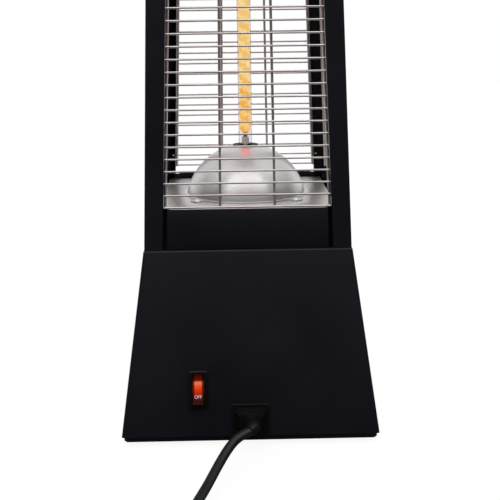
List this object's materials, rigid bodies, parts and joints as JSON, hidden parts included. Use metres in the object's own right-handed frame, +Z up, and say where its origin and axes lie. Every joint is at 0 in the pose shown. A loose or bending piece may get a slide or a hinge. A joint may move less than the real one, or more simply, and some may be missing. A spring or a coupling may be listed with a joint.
{
  "type": "infrared tower heater",
  "caption": "Free-standing infrared tower heater: sloped sheet-metal base, tapered posts with wire guards, upright quartz lamp between domed reflectors, rocker switch and plug-in mains lead.",
  "frame": {"origin": "on the floor, under the middle of the base", "axes": "+Z up along the tower, -Y out of the face with the switch and the mains inlet, +X to the right of that face"},
  "size_m": [0.21, 0.4452, 0.6412],
  "materials": {
    "black_powder_coat": "satin powder coat",
    "guard_wire": "bright plated wire",
    "bright_sheet": "brushed",
    "spun_reflector": "polished",
    "rivet": "plain",
    "fastener": "zinc plated",
    "feet_rubber": "matte",
    "switch_black": "satin",
    "rocker_red": "translucent, lit",
    "tilt_moulding": "moulded",
    "plunger_white": "moulded",
    "block_ivory": "moulded",
    "contact_metal": "plated",
    "cord_black": "satin",
    "tie_black": "matte",
    "wire_insulation": "matte sleeve",
    "ceramic": "unglazed ceramic",
    "crown_washer": "matte black",
    "quartz": "clear",
    "glowing_carbon": "glowing woven ribbon",
    "nickel_clip": "nickel"
  },
  "bodies": {
    "heater": {"base_shell": "black_powder_coat", "bottom_plate": "black_powder_coat", "corner_post_front_left": "black_powder_coat", "corner_post_front_right": "black_powder_coat", "corner_post_back_left": "black_powder_coat", "corner_post_back_right": "black_powder_coat", "lower_panel_front": "black_powder_coat", "lower_panel_back": "black_powder_coat", "lower_panel_left": "black_powder_coat", "lower_panel_right": "black_powder_coat", "upper_panel_front": "black_powder_coat", "upper_panel_back": "black_powder_coat", "upper_panel_left": "black_powder_coat", "upper_panel_right": "black_powder_coat", "top_frame": "black_powder_coat", "top_cap": "black_powder_coat", "guard_front": "guard_wire", "guard_back": "guard_wire", "guard_left": "guard_wire", "guard_right": "guard_wire", "reflector_deck": "bright_sheet", "upper_deck": "bright_sheet", "deck_brackets": "bright_sheet", "upper_brackets": "bright_sheet", "lower_reflector": "spun_reflector", "upper_reflector": "spun_reflector", "reflector_rivets": "rivet", "sheet_screws": "fastener", "small_screws": "fastener", "foot_screws": "fastener", "tower_bolts": "fastener", "tower_nuts": "fastener", "rubber_feet": "feet_rubber", "switch_housing": "switch_black", "inlet_body": "switch_black", "tilt_guide": "tilt_moulding", "tilt_switch": "tilt_moulding", "terminal_block": "block_ivory", "switch_terminals": "contact_metal", "inlet_pins": "contact_metal", "base_wiring": "wire_insulation", "upper_lamp_lead": "wire_insulation", "lower_lamp_holder": "ceramic", "upper_lamp_holder": "ceramic", "lower_lamp_cap": "ceramic", "upper_lamp_cap": "ceramic", "lower_grommet": "crown_washer", "upper_grommet": "crown_washer", "quartz_tube": "quartz", "carbon_filament": "glowing_carbon", "filament_clips": "nickel_clip"},
    "rocker": {"switch_rocker": "rocker_red"},
    "plunger": {"tilt_plunger": "plunger_white"},
    "power_lead": {"connector": "cord_black", "cord_lead": "cord_black", "cord_coil": "cord_black", "cord_tie": "tie_black", "plug_body": "cord_black", "plug_blades": "contact_metal"}
  },
  "joints": [
    {"name": "rocker_press", "type": "hinge", "parent": "heater", "child": "rocker", "pos_m": [-0.042, -0.09991, 0.04727], "axis": [1, 0, 0], "range_deg": [0, 24]},
    {"name": "tilt_plunger_slide", "type": "slide", "parent": "heater", "child": "plunger", "axis": [0, 0, -1], "range_m": [0, 0.004], "stiffness_N_per_m": 150, "springref_m": 0.006},
    {"name": "lead_unplug", "type": "slide", "parent": "heater", "child": "power_lead", "axis": [0, -0.9897, 0.1434], "range_m": [0, 0.02]}
  ]
}
